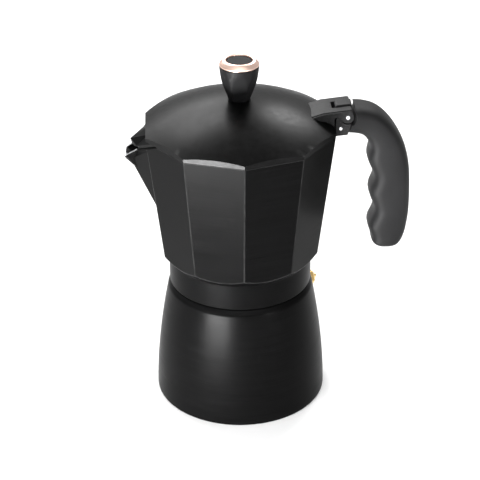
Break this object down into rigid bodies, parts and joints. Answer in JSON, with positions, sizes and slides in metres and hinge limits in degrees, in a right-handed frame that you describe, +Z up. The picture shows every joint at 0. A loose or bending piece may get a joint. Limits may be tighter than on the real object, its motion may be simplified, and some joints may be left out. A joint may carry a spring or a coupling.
{
  "type": "moka pot",
  "caption": "Stovetop moka pot: round boiler, ten-sided upper chamber with spout, hinged domed lid with knob, and a grip handle.",
  "frame": {"origin": "centre of the boiler's base, on the surface that the pot stands on", "axes": "+Z up along the pot's axis, +X towards the handle, -X towards the spout"},
  "size_m": [0.1672, 0.1128, 0.2133],
  "materials": {
    "coated_aluminium": "satin black coating over cast aluminium, faint brush lines",
    "bare_aluminium": "satin, spun or stamped",
    "brass": "polished",
    "copper_washer": "satin",
    "spring_steel": "drawn wire",
    "pin_steel": "polished",
    "silicone": "matte, off-white",
    "soft_touch": "soft-touch, fine grain",
    "knob_plastic": "matte black",
    "rose_metal": "rose-gold, satin"
  },
  "bodies": {
    "boiler": {"boiler": "coated_aluminium", "valve_washer": "copper_washer", "valve_body": "brass", "valve_spring": "spring_steel", "valve_cap": "brass"},
    "valve_pin": {"valve_pin": "brass"},
    "funnel": {"funnel_basket": "bare_aluminium", "funnel_stem": "bare_aluminium", "basket_screen": "bare_aluminium"},
    "seal_stack": {"gasket": "silicone", "filter_plate": "bare_aluminium"},
    "collector": {"collector": "coated_aluminium", "column_cap": "bare_aluminium", "handle": "soft_touch", "handle_pin": "pin_steel", "hinge_pin": "pin_steel"},
    "lid": {"lid": "coated_aluminium", "knob_washer": "pin_steel", "knob_screw": "pin_steel", "knob_body": "knob_plastic", "knob_ring": "rose_metal", "knob_inlay": "knob_plastic"}
  },
  "joints": [
    {"name": "valve_pop", "type": "slide", "parent": "boiler", "child": "valve_pin", "axis": [0.891, 0.454, 0], "range_m": [0, 0.0012], "stiffness_N_per_m": 900, "springref_m": -0.001, "deforming": ["valve_spring"]},
    {"name": "funnel_lift", "type": "slide", "parent": "boiler", "child": "funnel", "axis": [0, 0, 1], "range_m": [0, 0.085]},
    {"name": "thread_rise", "type": "slide", "parent": "funnel", "child": "seal_stack", "axis": [0, 0, 1], "range_m": [0, 0.00675]},
    {"name": "collector_turn", "type": "hinge", "parent": "seal_stack", "child": "collector", "pos_m": [0, 0, 0.0912], "axis": [0, 0, 1], "range_deg": [0, 810]},
    {"name": "lid_hinge", "type": "hinge", "parent": "collector", "child": "lid", "pos_m": [0.0608, 0, 0.1807], "axis": [0, 1, 0], "range_deg": [0, 95]}
  ],
  "couplings": [
    {"joint": "thread_rise", "follows": "collector_turn", "m_per_rad": 0.00047746}
  ]
}
